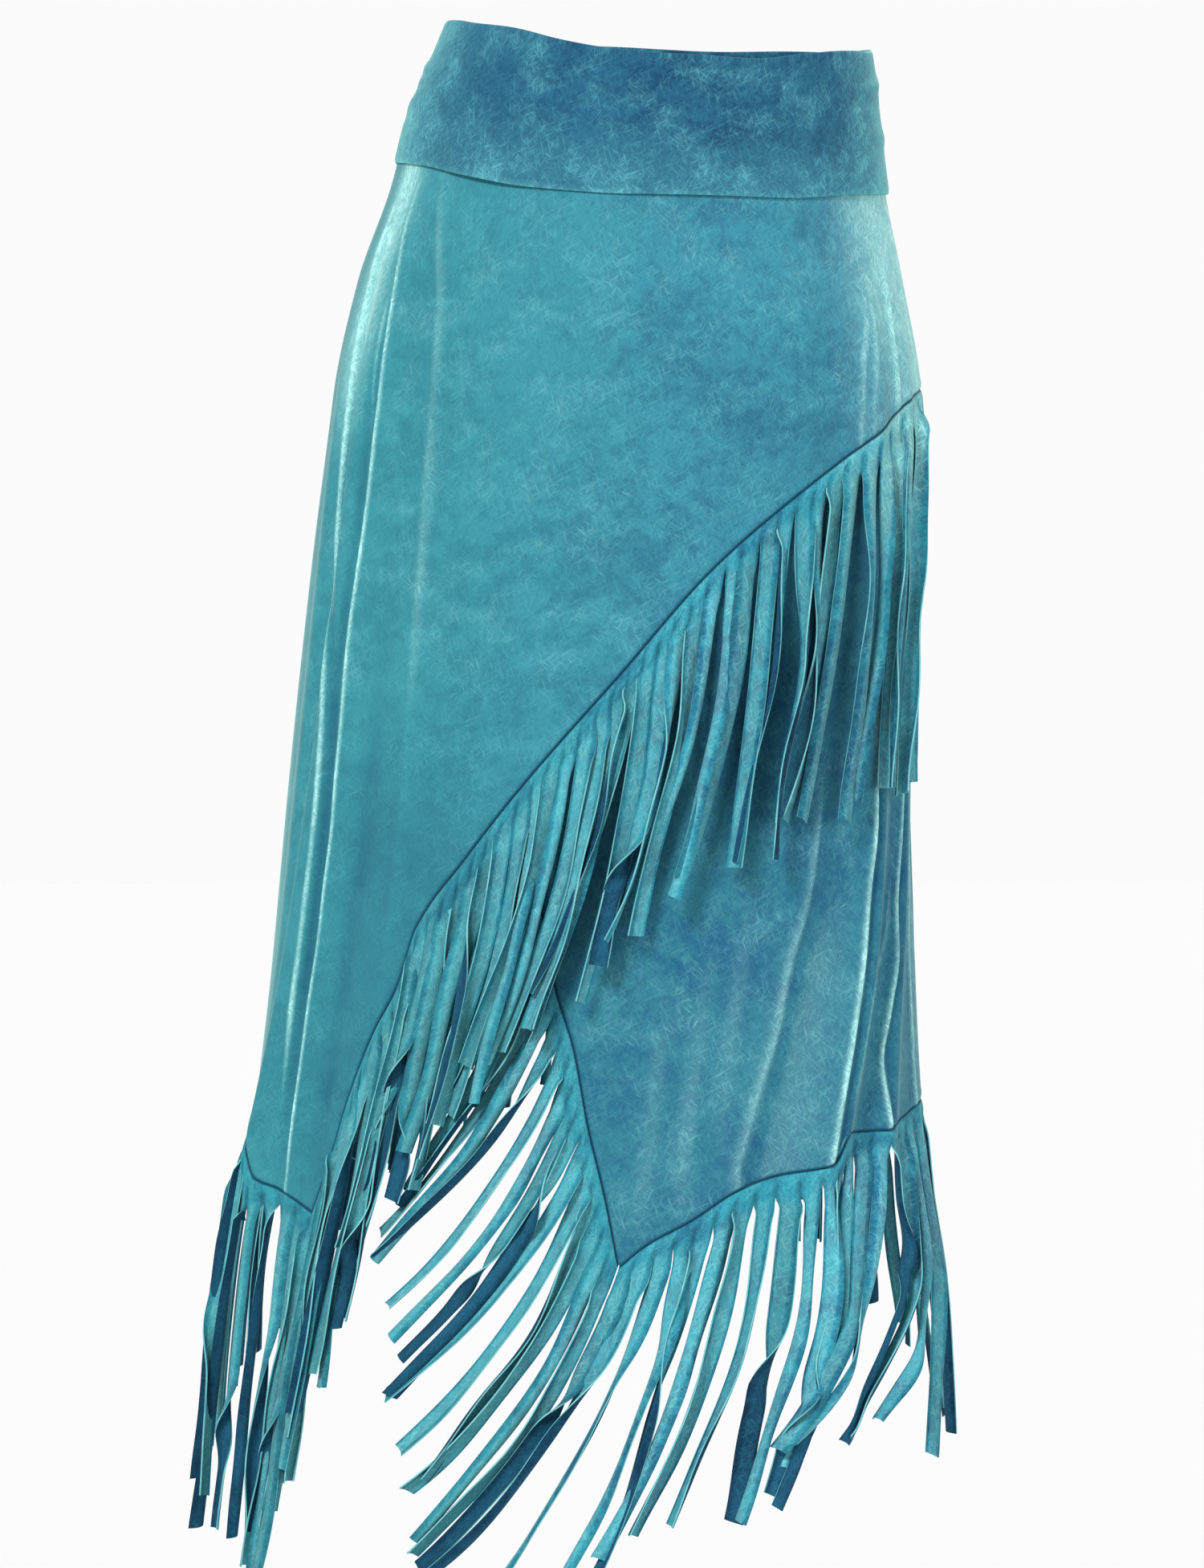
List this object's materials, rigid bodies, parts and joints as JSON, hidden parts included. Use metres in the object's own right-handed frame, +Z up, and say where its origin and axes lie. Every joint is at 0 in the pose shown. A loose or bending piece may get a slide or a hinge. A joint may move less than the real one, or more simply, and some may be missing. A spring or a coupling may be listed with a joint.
{
  "type": "fringe skirt",
  "caption": "Long wrap-front skirt of washed teal jersey with a fold-over waistband and strands cut along its crossing hems, as worn.",
  "frame": {"origin": "centre of the waist opening, level with the band's top edge at the side seam on the picture's right", "axes": "+Z up, the front faces -Y, +X to the picture's right"},
  "size_m": [0.5091, 0.3302, 1.0462],
  "materials": {
    "band_jersey": "mineral-washed stretch jersey, deeper blue teal",
    "wrap_jersey": "mineral-washed stretch jersey with a pale sheen",
    "under_jersey": "mineral-washed stretch jersey with a pale sheen",
    "back_jersey": "mineral-washed stretch jersey with a pale sheen",
    "fringe_jersey": "mineral-washed stretch jersey cut into strands, blue on the reverse"
  },
  "bodies": {
    "root": {"waistband": "band_jersey", "wrap_front": "wrap_jersey", "under_front": "under_jersey", "back": "back_jersey", "fringe_wrap_hem": "fringe_jersey", "fringe_wrap_diagonal": "fringe_jersey", "fringe_under_edge": "fringe_jersey", "fringe_under_hem": "fringe_jersey", "fringe_back": "fringe_jersey"}
  },
  "joints": []
}
